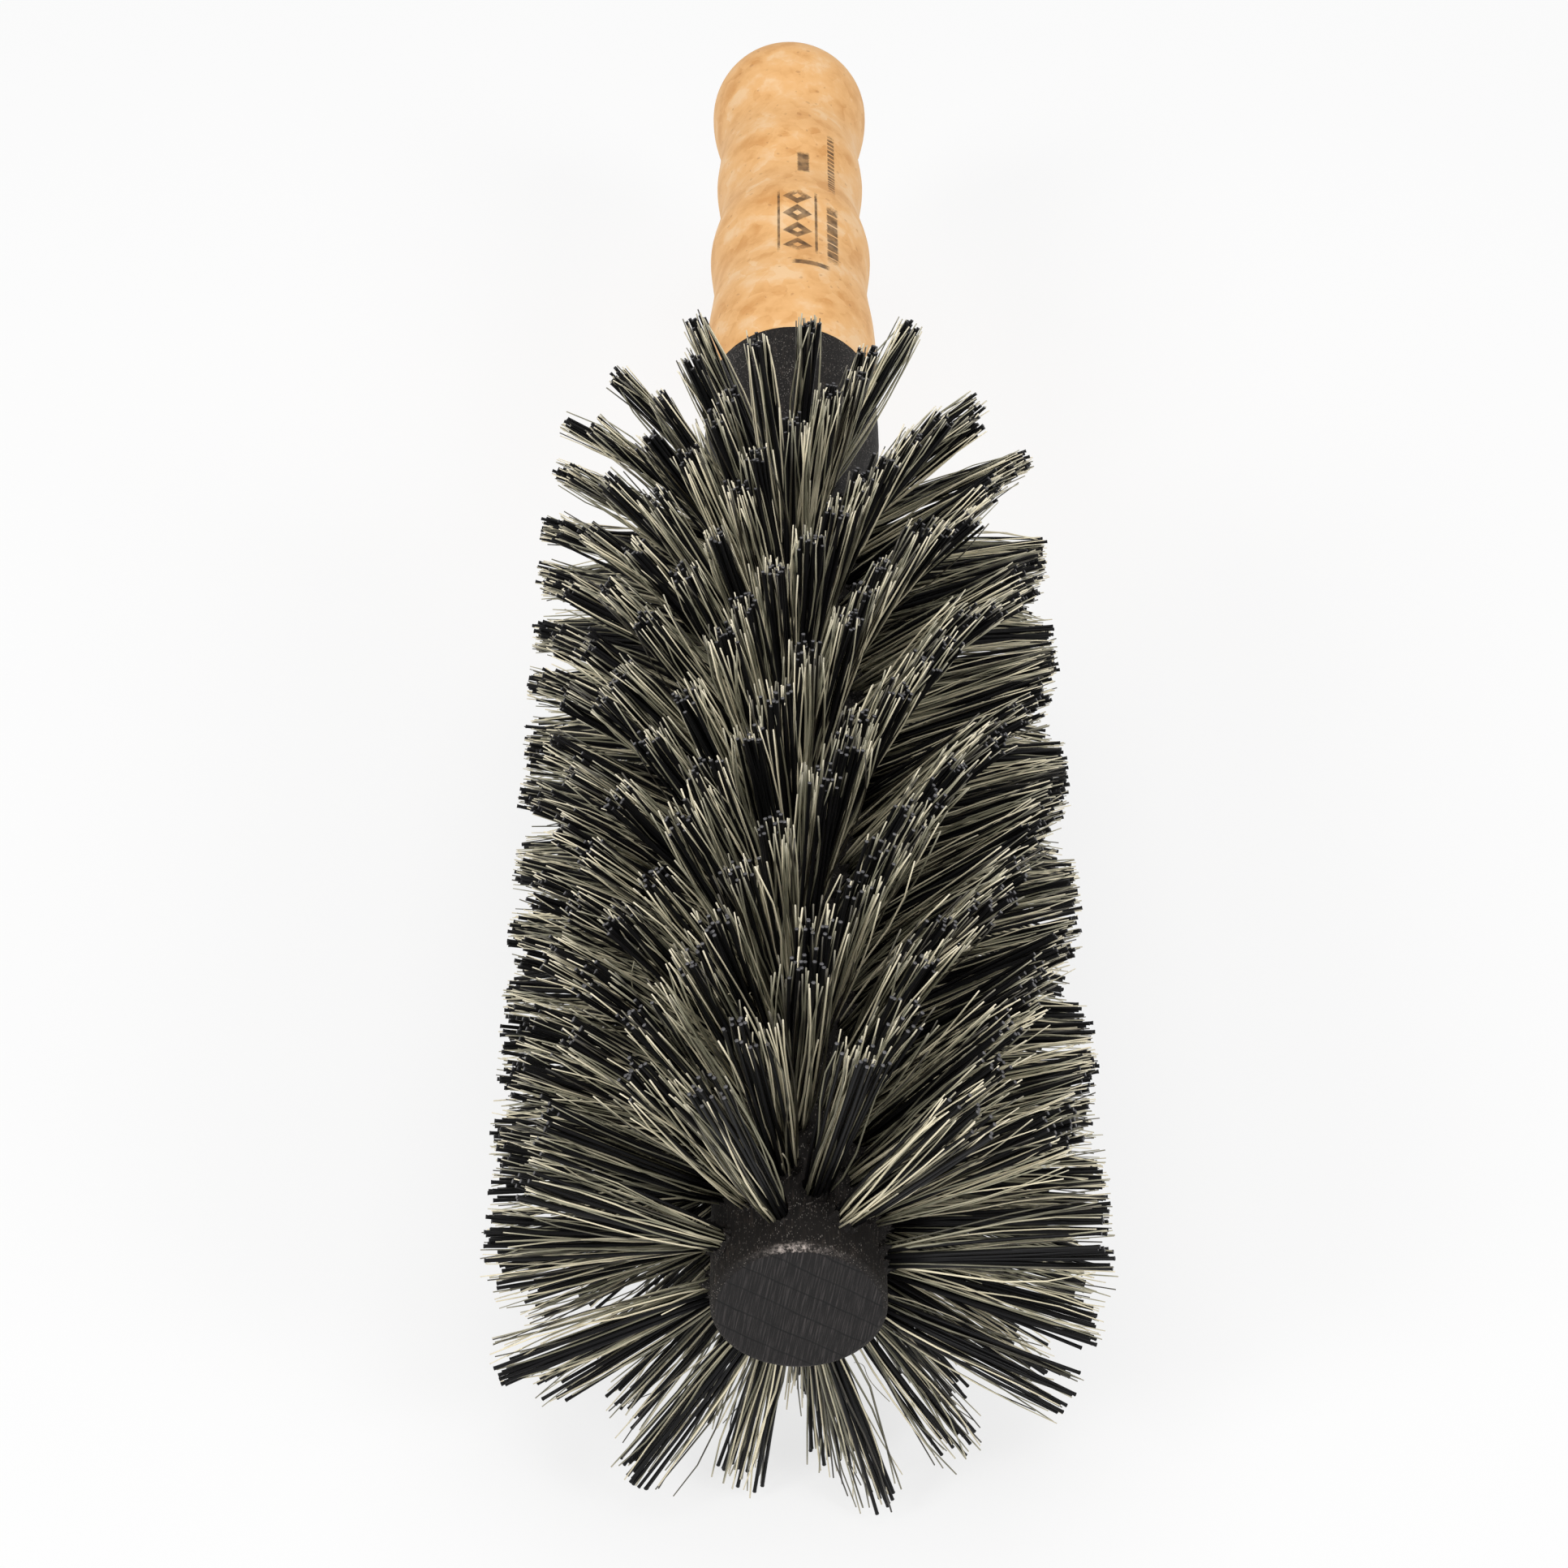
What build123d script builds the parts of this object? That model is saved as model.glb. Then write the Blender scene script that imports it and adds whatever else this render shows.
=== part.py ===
from build123d import *
import math
import os

# Round barrel brush: a bored wooden barrel, a turned cork grip glued on the barrel's tenon, and
# bristle tufts in helical rows, each tuft folded round a flat wire anchor in a blind hole. The
# tufts and anchors are grouped in rings, because the barrel is filled ring by ring from the tip.
# The brush lies along +Y. Its sawn tip face is at Y = 0 and faces -Y, the grip is towards +Y and
# +Z is up. Lengths are millimetres and angles are degrees.

# Barrel
BARREL_DIAMETER = 21.0
BARREL_LENGTH = 192.6        # tip face to the front edge of the grip
TIP_EDGE_RADIUS = 0.85       # rounding round the sawn tip face
SWELL_SETBACK = 34.0         # where the straight barrel starts to swell, ahead of the grip
BEAD_DIAMETER = 27.0
BEAD_SETBACK = 13.6          # crest of the bead, ahead of the grip
JOINT_DIAMETER = 26.0        # barrel and grip are flush here
TENON_DIAMETER = 15.0
TENON_LENGTH = 78.0
TENON_CHAMFER = 1.0

# Grip
FIRST_NOTCH = 30.0           # front edge of the grip to the first notch
NOTCH_PITCH = 22.15
NOTCH_RADII = (12.55, 11.7, 11.8)
RIDGE_RADII = (13.3, 13.2, 12.4)
BALL_RADIUS = 13.35
BALL_NECK = 13.7             # last notch to the middle of the ball
GLUE_GAP = 0.5               # room past the end of the tenon

# Tuft holes
ROW_COUNT = 16
ROW_PHASE = 104.5            # angle of the first row at its first hole, from +X towards +Z
ROW_TWIST = 0.87             # turn of a row, degrees for each millimetre along the barrel
RING_COUNT = 22              # holes in each even row, the odd rows have one fewer
FIRST_HOLE = 6.1             # tip face to the first hole
LAST_HOLE_MARGIN = 3.4       # straight barrel past the middle of the last hole
HOLE_DIAMETER = 2.8
HOLE_WALL = 1.0              # wood between the floors of neighbouring holes in a ring

# Tufts
TRIM_DIAMETER = 76.0
TUFT_TIP_GAP = 0.7           # between the tips of two tufts in a row
STEM_CLEARANCE = 0.05        # between a tuft's packed stem and the wall of its hole
FRONT_SPLAY = 4.5            # how far the first tufts lean out past the tip, at the trim
BACK_SPLAY = 1.5             # how far the last tufts lean towards the grip
SPLAY_REACH = 20.0           # the lean dies away over this length of barrel

# Anchors
ANCHOR_THICKNESS = 0.4
ANCHOR_HEIGHT = 1.6
ANCHOR_LIFT = 0.5            # folded bristle under the anchor
ANCHOR_CLEARANCE = 0.02      # between each end of an anchor and the wall of its hole

BARREL_RADIUS = BARREL_DIAMETER / 2
HOLE_RADIUS = HOLE_DIAMETER / 2
FLOOR_RADIUS = (HOLE_DIAMETER + HOLE_WALL) / (2 * math.sin(2 * math.pi / ROW_COUNT))
TRIM_RADIUS = TRIM_DIAMETER / 2
STRAIGHT_LENGTH = BARREL_LENGTH - SWELL_SETBACK
LAST_HOLE = STRAIGHT_LENGTH - LAST_HOLE_MARGIN
TUFT_PITCH = (LAST_HOLE - FIRST_HOLE) / (RING_COUNT - 1)
TIP_RADIUS = (TUFT_PITCH - TUFT_TIP_GAP) / 2
TIP_HEIGHT = math.sqrt(TRIM_RADIUS ** 2 - TIP_RADIUS ** 2)
GRIP_END = BARREL_LENGTH + FIRST_NOTCH + NOTCH_PITCH * (len(NOTCH_RADII) - 1) + BALL_NECK + BALL_RADIUS


def ring_holes(ring):
    """Row and place along the barrel of each hole in a ring.

    Odd rows stand half a pitch back, so the last ring has even rows only.
    """
    start = FIRST_HOLE + TUFT_PITCH * ring
    step = 2 if ring == RING_COUNT - 1 else 1
    return [(row, start + TUFT_PITCH / 2 * (row % 2)) for row in range(0, ROW_COUNT, step)]


def placement(row, station):
    """Moves a shape built about +Z at the origin to its place on the barrel."""
    angle = ROW_PHASE + 360 / ROW_COUNT * row - ROW_TWIST * (station - FIRST_HOLE)
    return Location((0, station, 0)) * Rot(0, 90 - angle, 0)


def splay(station):
    """How far a tuft's tip leans along the barrel."""
    front = max(0, 1 - (station - FIRST_HOLE) / SPLAY_REACH)
    back = max(0, 1 - (LAST_HOLE - station) / SPLAY_REACH)
    return BACK_SPLAY * back - FRONT_SPLAY * front


def anchor():
    """Flat wire that a tuft is folded round, across its hole and along the barrel."""
    width = 2 * math.sqrt(HOLE_RADIUS ** 2 - ANCHOR_THICKNESS ** 2 / 4) - 2 * ANCHOR_CLEARANCE
    middle = FLOOR_RADIUS + ANCHOR_LIFT + ANCHOR_HEIGHT / 2
    return Pos(0, 0, middle) * Box(ANCHOR_THICKNESS, width, ANCHOR_HEIGHT)


def stem(radius, height):
    """Round stem from the floor of a hole up to a height above the barrel's axis."""
    length = height - FLOOR_RADIUS
    return Pos(0, 0, FLOOR_RADIUS + length / 2) * Cylinder(radius, length)


def tuft(lean):
    """One tuft: a packed stem in the hole, and bristles that flare out to the trim."""
    packed_radius = HOLE_RADIUS - STEM_CLEARANCE
    root = Pos(0, 0, BARREL_RADIUS) * Circle(packed_radius)
    tip = Pos(0, lean, TIP_HEIGHT) * Circle(TIP_RADIUS)
    return stem(packed_radius, BARREL_RADIUS) + loft([root, tip]) - anchor()


def barrel_blank():
    """Turned barrel with its rounded tip, its bead and the tenon for the grip."""
    bead = (BEAD_DIAMETER / 2, BARREL_LENGTH - BEAD_SETBACK)
    joint = (JOINT_DIAMETER / 2, BARREL_LENGTH)
    tenon_end = BARREL_LENGTH + TENON_LENGTH
    flat = (BARREL_RADIUS - TIP_EDGE_RADIUS, 0)
    edge = (BARREL_RADIUS, TIP_EDGE_RADIUS)
    swell = (BARREL_RADIUS, STRAIGHT_LENGTH)
    outline = Line((0, 0), flat)
    outline += RadiusArc(flat, edge, -TIP_EDGE_RADIUS)
    outline += Line(edge, swell)
    outline += Spline(swell, bead, joint, tangents=[(0, 1), (0, 1), (-0.1, 1)])
    outline += Polyline(
        joint,
        (TENON_DIAMETER / 2, BARREL_LENGTH),
        (TENON_DIAMETER / 2, tenon_end - TENON_CHAMFER),
        (TENON_DIAMETER / 2 - TENON_CHAMFER, tenon_end),
        (0, tenon_end),
        (0, 0),
    )
    return revolve(make_face(outline), Axis.Y)


def barrel():
    """Barrel with all its tuft holes."""
    hole = stem(HOLE_RADIUS, BARREL_RADIUS + HOLE_RADIUS)
    holes = []
    for ring in range(RING_COUNT):
        holes += [placement(*place) * hole for place in ring_holes(ring)]
    return barrel_blank() - holes


def grip():
    """Cork grip: ridges and notches in turn, a ball at the butt, and a blind bore."""
    waves = [(JOINT_DIAMETER / 2, BARREL_LENGTH)]
    for i, (ridge, notch) in enumerate(zip(RIDGE_RADII, NOTCH_RADII)):
        place = BARREL_LENGTH + FIRST_NOTCH + NOTCH_PITCH * i
        waves += [(ridge, place - NOTCH_PITCH / 2), (notch, place)]
    ball_middle = GRIP_END - BALL_RADIUS
    equator = (BALL_RADIUS, ball_middle)
    diagonal = BALL_RADIUS * math.sqrt(0.5)
    bore_end = BARREL_LENGTH + TENON_LENGTH + GLUE_GAP
    outline = Spline(*waves, equator, tangents=[(0.1, 1), (0, 1)])
    outline += ThreePointArc(equator, (diagonal, ball_middle + diagonal), (0, GRIP_END))
    outline += Polyline(
        (0, GRIP_END),
        (0, bore_end),
        (TENON_DIAMETER / 2, bore_end),
        (TENON_DIAMETER / 2, BARREL_LENGTH),
        waves[0],
    )
    return revolve(make_face(outline), Axis.Y)


def write(node, solids):
    """Writes one node's STEP file."""
    shape = solids[0] if len(solids) == 1 else Compound(children=solids)
    shape.label = node
    export_step(shape, f"parts/{node}.step")


def main():
    os.makedirs("parts", exist_ok=True)
    write("barrel_core", [barrel().solid()])
    write("cork_grip", [grip().solid()])
    for ring in range(RING_COUNT):
        places = ring_holes(ring)
        tufts = [placement(row, station) * tuft(splay(station)).solid() for row, station in places]
        anchors = [placement(row, station) * anchor().solid() for row, station in places]
        write(f"tuft_ring_{ring + 1:02d}", tufts)
        write(f"anchor_ring_{ring + 1:02d}", anchors)


main()
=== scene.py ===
"""Round barrel brush: dresses the barrel and grip, and sets real bristles in every tuft hole."""

import logging
import math
from collections.abc import Sequence
from dataclasses import dataclass, field
from enum import Enum

import bpy
import numpy as np
from mathutils import Matrix, Vector


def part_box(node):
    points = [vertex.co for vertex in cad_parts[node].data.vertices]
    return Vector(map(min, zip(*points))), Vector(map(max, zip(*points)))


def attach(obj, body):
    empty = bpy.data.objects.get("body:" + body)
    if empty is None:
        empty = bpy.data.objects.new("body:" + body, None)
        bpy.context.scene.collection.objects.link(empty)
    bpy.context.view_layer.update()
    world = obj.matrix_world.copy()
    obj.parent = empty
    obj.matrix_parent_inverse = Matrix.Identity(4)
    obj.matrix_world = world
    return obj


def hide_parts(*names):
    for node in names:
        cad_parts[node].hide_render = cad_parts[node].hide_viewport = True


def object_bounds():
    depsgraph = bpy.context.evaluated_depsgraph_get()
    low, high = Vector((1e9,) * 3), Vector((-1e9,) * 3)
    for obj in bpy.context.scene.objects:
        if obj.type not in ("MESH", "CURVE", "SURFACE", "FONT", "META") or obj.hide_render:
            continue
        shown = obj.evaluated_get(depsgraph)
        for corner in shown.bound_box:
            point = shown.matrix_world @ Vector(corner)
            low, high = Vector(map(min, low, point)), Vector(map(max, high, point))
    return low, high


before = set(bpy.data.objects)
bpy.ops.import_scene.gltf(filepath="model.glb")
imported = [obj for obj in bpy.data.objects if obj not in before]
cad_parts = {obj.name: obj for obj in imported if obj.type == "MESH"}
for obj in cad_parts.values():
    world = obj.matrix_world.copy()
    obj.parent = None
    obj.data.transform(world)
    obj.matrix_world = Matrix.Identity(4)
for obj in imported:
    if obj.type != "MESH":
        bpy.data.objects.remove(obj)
CAD_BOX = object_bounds()

MM = 0.001
BODY = "root"
SEED = 20417
TURN = 2 * math.pi
GOLDEN_ANGLE = math.pi * (3 - math.sqrt(5))
LEAST_GAP = math.radians(8)  # between two anchors of a ring
LENGTHWISE_LIMIT = 0.9  # a strand is lengthwise past this share of +Y
LOG = logging.getLogger("round_brush")

Array = np.ndarray
Rng = np.random.Generator
Material = bpy.types.Material
Mesh = bpy.types.Mesh
Object = bpy.types.Object
Socket = bpy.types.NodeSocket
Tree = bpy.types.NodeTree
Colour = tuple[float, float, float]
Value = float | Socket
Span = tuple[float, float]
Scales = tuple[float, float, float]
Ramp = tuple[float, float, float, float]
At = Socket | None


class Slot(Enum):
    """Names of two material slots of the record."""

    WOOD = "black_wood"
    BRISTLE = "bristle"


class StrandKind(Enum):
    """Kinds of strand in a tuft, with their material index on a ring's mesh."""

    BOAR = 0
    NYLON = 1
    CUT_END = 2


# ---------------------------------------------------------------- shader graphs


class Graph:
    """Adds nodes to one shader tree, and links them as they are added."""

    def __init__(self, tree: Tree) -> None:
        """Starts on the node tree of a material or a group."""
        self.tree = tree

    def put(self, socket: Socket, value: Value | Colour | Vector) -> None:
        """Links a socket to another one, or sets its own value.

        Args:
            socket: the input socket.
            value: a socket to link from, or a plain value.
        """
        if isinstance(value, Socket):
            self.tree.links.new(value, socket)
        elif socket.type == "RGBA":
            socket.default_value = (*value, 1.0)
        else:
            socket.default_value = value

    def add(self, kind: str, inputs: dict | None = None, **settings) -> bpy.types.Node:
        """Adds one node.

        Args:
            kind: the node's type name without its ShaderNode prefix.
            inputs: values or sockets for its inputs, by name or index.
            **settings: attributes of the node.

        Returns:
            The new node.
        """
        node = self.tree.nodes.new("ShaderNode" + kind)
        for name, value in settings.items():
            setattr(node, name, value)
        for name, value in (inputs or {}).items():
            self.put(node.inputs[name], value)
        return node

    def math(self, operation: str, *values: Value, clamp: bool = False) -> Socket:
        """One arithmetic step, whose answer may be held between 0 and 1."""
        inputs = dict(enumerate(values))
        return self.add("Math", inputs, operation=operation, use_clamp=clamp).outputs[0]

    def times(self, first: Value, second: Value) -> Socket:
        """The product of two values."""
        return self.math("MULTIPLY", first, second)

    def line(self, value: Value, slope: Value, start: Value, clamp: bool = False) -> Socket:
        """A value times a slope, plus a start."""
        return self.math("MULTIPLY_ADD", value, slope, start, clamp=clamp)

    def vector(self, operation: str, inputs: dict) -> Socket:
        """One step of vector arithmetic."""
        return self.add("VectorMath", inputs, operation=operation).outputs[0]

    def remap(
        self, value: Value, low: float, high: float, to_low: float = 0.0, to_high: float = 1.0
    ) -> Socket:
        """Smoothly carries a value from one range to another, clamped at its ends.

        Args:
            value: the value to carry over.
            low: start of its range.
            high: end of its range.
            to_low: what low becomes.
            to_high: what high becomes.

        Returns:
            The new value's socket.
        """
        node = self.add("MapRange", interpolation_type="SMOOTHSTEP")
        for index, given in enumerate((value, low, high, to_low, to_high)):
            self.put(node.inputs[index], given)
        return node.outputs[0]

    def mix(self, factor: Value, first: Socket | Colour, second: Socket | Colour) -> Socket:
        """Mixes two colours.

        Args:
            factor: 0 for the first, 1 for the second.
            first: the first colour.
            second: the second colour.

        Returns:
            The mixed colour's socket.
        """
        node = self.add("Mix", data_type="RGBA")
        for index, given in zip((0, 6, 7), (factor, first, second)):
            self.put(node.inputs[index], given)
        return node.outputs[2]

    def stretch(self, vector: Socket, scale: Scales = (1.0, 1.0, 1.0), turn: float = 0.0) -> Socket:
        """Scales a coordinate, and turns it about the brush's axis, in radians."""
        inputs = {"Vector": vector, "Rotation": (0.0, turn, 0.0), "Scale": scale}
        return self.add("Mapping", inputs).outputs[0]

    def split(self, vector: Socket) -> list[Socket]:
        """The X, Y and Z of a coordinate."""
        return list(self.add("SeparateXYZ", {0: vector}).outputs)

    def mesh_value(self, name: str) -> Socket:
        """A value stored on the mesh's points."""
        return self.add("Attribute", attribute_name=name).outputs["Fac"]


class Effects:
    """Shader node groups that several finishes use. Each is built once."""

    CLOUD_DETAIL = 4.0
    STREAK_DETAIL = 6.0
    STREAK_ROUGHNESS = 0.65
    STREAK_MASK: Span = (0.18, 0.55)
    SPECK_EDGE = 0.08
    GRIT_SCALE = 2600.0
    GRIT_DETAIL = 5.0
    BAND_EDGE: Span = (1.0, 0.7)

    def __init__(self) -> None:
        """Builds every group."""
        self.mottle = self._mottle()
        self.fibre = self._fibre()
        self.specks = self._specks()
        self.worn_band = self._worn_band()

    @staticmethod
    def _start(name: str, values: Sequence[str], outputs: Sequence[str]) -> tuple[Graph, list[Socket]]:
        """Starts a group. Its first input is always the coordinate.

        Args:
            name: the group's name.
            values: names of its other inputs, which are all values.
            outputs: names of its outputs, which are all values.

        Returns:
            The group's graph, and its input sockets in order.
        """
        tree = bpy.data.node_groups.new(name, "ShaderNodeTree")
        tree.interface.new_socket("Vector", in_out="INPUT", socket_type="NodeSocketVector")
        for label in values:
            tree.interface.new_socket(label, in_out="INPUT", socket_type="NodeSocketFloat")
        for label in outputs:
            tree.interface.new_socket(label, in_out="OUTPUT", socket_type="NodeSocketFloat")
        start = tree.nodes.new("NodeGroupInput")
        return Graph(tree), [start.outputs[label] for label in ("Vector", *values)]

    @staticmethod
    def _end(graph: Graph, *sockets: Socket) -> Tree:
        """Ends a group.

        Args:
            graph: the group's graph.
            *sockets: the socket that feeds each output, in order.

        Returns:
            The group's tree.
        """
        end = graph.tree.nodes.new("NodeGroupOutput")
        for index, socket in enumerate(sockets):
            graph.put(end.inputs[index], socket)
        return graph.tree

    def _mottle(self) -> Tree:
        """Soft cloudy variation between 0 and 1, as in stain, cork and horn."""
        graph, (vector, scale, contrast) = self._start("Mottle", ["Scale", "Contrast"], ["Value"])
        noise = graph.add("TexNoise", {"Vector": vector, "Scale": scale, "Detail": self.CLOUD_DETAIL})
        centred = graph.math("SUBTRACT", noise.outputs[0], 0.5)
        return self._end(graph, graph.line(centred, contrast, 0.5, clamp=True))

    def _fibre(self) -> Tree:
        """Fine drawn-out streaks. The vector comes already stretched along the fibre."""
        graph, (vector, scale, sharpness) = self._start("Fibre", ["Scale", "Sharpness"], ["Height", "Mask"])
        shape = {"Detail": self.STREAK_DETAIL, "Roughness": self.STREAK_ROUGHNESS}
        streaks = graph.add("TexNoise", {"Vector": vector, "Scale": scale, **shape}).outputs[0]
        mask = graph.remap(graph.math("POWER", streaks, sharpness), *self.STREAK_MASK)
        return self._end(graph, streaks, mask)

    def _specks(self) -> Tree:
        """Scattered dots of uneven size."""
        graph, (vector, scale, size) = self._start("Specks", ["Scale", "Size"], ["Mask"])
        cells = graph.add("TexVoronoi", {"Vector": vector, "Scale": scale})
        reach = graph.times(graph.split(cells.outputs["Color"])[0], size)
        inside = graph.math("SUBTRACT", reach, cells.outputs["Distance"])
        return self._end(graph, graph.remap(inside, 0.0, self.SPECK_EDGE))

    def _worn_band(self) -> Tree:
        """A ragged band of wear or ink where a value lies near a middle."""
        labels = ["Value", "Middle", "Reach", "Ragged"]
        graph, (vector, value, middle, reach, ragged) = self._start("Worn_band", labels, ["Mask"])
        noise = {"Vector": vector, "Scale": self.GRIT_SCALE, "Detail": self.GRIT_DETAIL}
        grit = graph.math("SUBTRACT", graph.add("TexNoise", noise).outputs[0], 0.5)
        off = graph.math("ABSOLUTE", graph.math("SUBTRACT", value, middle))
        edge = graph.line(grit, ragged, graph.math("DIVIDE", off, reach))
        return self._end(graph, graph.remap(edge, *self.BAND_EDGE))


# ---------------------------------------------------------------- finishes


class Surface(Graph):
    """The graph of one finish: a Principled shader, and the shared effects at the shaded place."""

    def __init__(self, tree: Tree, effects: Effects) -> None:
        """Starts a finish.

        Args:
            tree: the material's own tree.
            effects: the shared groups.
        """
        super().__init__(tree)
        self.effects = effects
        self.here = self.add("TexCoord").outputs["Object"]
        self.shader = self.add("BsdfPrincipled")
        self.add("OutputMaterial", {"Surface": self.shader.outputs[0]})

    def feed(self, label: str, value: Value | Colour) -> None:
        """Feeds one input of the Principled shader."""
        self.put(self.shader.inputs[label], value)

    def bump(self, height: Socket, strength: float, depth: float) -> None:
        """Feeds the shader's normal from a height, to a depth in metres."""
        node = self.add("Bump", {"Height": height, "Strength": strength, "Distance": depth})
        self.feed("Normal", node.outputs[0])

    def effect(self, group: Tree, values: Sequence[Value], at: At = None) -> list[Socket]:
        """Places a shared effect.

        Args:
            group: the effect.
            values: its inputs after the coordinate, in order.
            at: its coordinate, or None for the shaded place.

        Returns:
            Its outputs.
        """
        node = self.tree.nodes.new("ShaderNodeGroup")
        node.node_tree = group
        for index, value in enumerate((self.here if at is None else at, *values)):
            self.put(node.inputs[index], value)
        return list(node.outputs)

    def mottle(self, grain: Span, at: At = None) -> Socket:
        """Clouds of a given scale and contrast."""
        return self.effect(self.effects.mottle, grain, at)[0]

    def fibre(self, grain: Span, at: At = None) -> list[Socket]:
        """Height and mask of streaks of a given scale and sharpness."""
        return self.effect(self.effects.fibre, grain, at)

    def specks(self, grain: Span, at: At = None) -> Socket:
        """Dots of a given scale and size."""
        return self.effect(self.effects.specks, grain, at)[0]


class Finish:
    """Base of the finishes: a material with one Principled shader."""

    name = "finish"

    def material(self, effects: Effects) -> Material:
        """Makes the finish's material.

        Args:
            effects: the shared groups.

        Returns:
            The material.
        """
        made = bpy.data.materials.new(self.name)
        made.use_nodes = True
        made.node_tree.nodes.clear()
        self.paint(Surface(made.node_tree, effects))
        return made

    def paint(self, graph: Surface) -> None:
        """Feeds the shader. Each finish has its own."""
        raise NotImplementedError


@dataclass(frozen=True)
class StainedWood(Finish):
    """Black-stained turned wood: fibrous sides, a sawn end face, and a rubbed rim with a painted highlight
    on its top.

    A pair beside a pattern is its scale, and its contrast, sharpness or size.
    """

    name: str = "stained_wood"
    deep: Colour = (0.0060, 0.0045, 0.0038)
    raised: Colour = (0.062, 0.047, 0.038)
    fleck: Colour = (0.33, 0.30, 0.27)
    sawn: Colour = (0.0065, 0.0055, 0.0055)
    sawn_pale: Colour = (0.064, 0.055, 0.054)
    growth_line: Colour = (0.002, 0.002, 0.002)
    # pale colour of the rim: faint wear all round, and a painted highlight on its top
    rubbed_and_highlight: Colour = (0.43, 0.37, 0.335)
    relief: Span = (0.75, 0.16 * MM)
    dullness: Span = (-0.25, 0.86)
    rim_gloss: float = -0.28
    specular: float = 0.30
    streaks: Span = (2600.0, 2.2)
    streak_stretch: Scales = (1.0, 0.16, 1.0)
    stain: Span = (260.0, 2.2)
    flecks: Span = (5200.0, 0.42)
    fleck_stretch: Scales = (1.0, 0.45, 1.0)
    fleck_cover: float = 0.7
    fleck_rise: float = 0.3
    face_depth: float = 0.04 * MM
    saw_marks: Span = (5400.0, 2.0)
    saw_stretch: Scales = (1.0, 1.0, 0.035)
    saw_turn: float = math.radians(-9)
    saw_level: Span = (0.35, 0.3)
    growth_turn: float = math.radians(-33)
    growth_pitch: float = 3.3 * MM
    growth_clouds: Span = (160.0, 1.0)
    growth_wander: float = 1.1 * MM
    growth_width: Span = (0.20 * MM, 0.08 * MM)
    growth_patches: Span = (330.0, 2.6)
    growth_fade: Span = (0.5, 0.5)
    growth_cover: float = 0.95
    growth_sink: float = -0.25
    rim_band: tuple[float, float, float] = (10.25 * MM, 0.42 * MM, 1.6)
    rim_depth: Span = (1.5 * MM, 0.25 * MM)
    # these three place the painted highlight on the rim's top, a little left of the middle
    rim_highlight_top: Ramp = (7.5 * MM, 10.1 * MM, 0.10, 1.0)
    rim_highlight_aside: Ramp = (3.4 * MM, 0.4 * MM, 0.15, 1.0)
    rim_highlight_offset: float = 0.5 * MM
    rim_torn: Span = (2400.0, 1.7)
    rim_clouds: Span = (420.0, 2.4)

    def paint(self, graph: Surface) -> None:
        """Feeds colour, roughness and normal from the place on the barrel."""
        across, along, up = graph.split(graph.here)
        on_face = graph.math("LESS_THAN", along, self.face_depth)
        side, side_height = self._side(graph)
        face, face_height = self._face(graph)
        rim = self._rim_wear_and_highlight(graph, across, along, up)
        # the rim's pale colour is partly wear and mostly a painted highlight
        graph.feed("Base Color", graph.mix(rim, graph.mix(on_face, side, face), self.rubbed_and_highlight))
        height = graph.add("Mix", {0: on_face, 2: side_height, 3: face_height}).outputs[0]
        graph.bump(height, *self.relief)
        rough = graph.line(side_height, *self.dullness)
        graph.feed("Roughness", graph.line(rim, self.rim_gloss, rough, clamp=True))
        graph.feed("Specular IOR Level", self.specular)

    def _side(self, graph: Surface) -> tuple[Socket, Socket]:
        """The turned side: streaks along the barrel, stain clouds and pale flecks.

        Args:
            graph: the material's graph.

        Returns:
            Its colour and its height.
        """
        height, mask = graph.fibre(self.streaks, graph.stretch(graph.here, self.streak_stretch))
        cloud = graph.mottle(self.stain)
        flecks = graph.specks(self.flecks, graph.stretch(graph.here, self.fleck_stretch))
        patchy = graph.times(flecks, cloud)
        colour = graph.mix(graph.times(mask, cloud), self.deep, self.raised)
        colour = graph.mix(graph.times(patchy, self.fleck_cover), colour, self.fleck)
        return colour, graph.line(patchy, self.fleck_rise, height)

    def _face(self, graph: Surface) -> tuple[Socket, Socket]:
        """The sawn end: close saw marks one way, thin growth lines across them.

        Args:
            graph: the material's graph.

        Returns:
            Its colour and its height.
        """
        turned = graph.stretch(graph.here, turn=self.saw_turn)
        marks, mask = graph.fibre(self.saw_marks, graph.stretch(turned, self.saw_stretch))
        level = graph.split(graph.stretch(graph.here, turn=self.growth_turn))[2]
        level = graph.line(graph.mottle(self.growth_clouds), self.growth_wander, level)
        off = graph.math("PINGPONG", level, self.growth_pitch / 2)
        fade = graph.line(graph.mottle(self.growth_patches), *self.growth_fade)
        line = graph.times(graph.remap(off, *self.growth_width), fade)
        colour = graph.mix(mask, self.sawn, self.sawn_pale)
        colour = graph.mix(graph.times(line, self.growth_cover), colour, self.growth_line)
        return colour, graph.line(line, self.growth_sink, graph.line(marks, *self.saw_level))

    def _rim_wear_and_highlight(self, graph: Surface, across: Socket, along: Socket, up: Socket) -> Socket:
        """Wear on the rounded rim of the tip, with a painted highlight held to its top, a little left of
        the middle.

        Args:
            graph: the material's graph.
            across: the place across the brush.
            along: the place along it.
            up: the place above its axis.

        Returns:
            The mask of the wear and the painted highlight.
        """
        radius = graph.math("SQRT", graph.line(across, across, graph.times(up, up)))
        band = graph.effect(graph.effects.worn_band, (radius, *self.rim_band))[0]
        wear = graph.times(band, graph.remap(along, *self.rim_depth))
        aside = graph.math("ABSOLUTE", graph.math("ADD", across, self.rim_highlight_offset))
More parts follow.
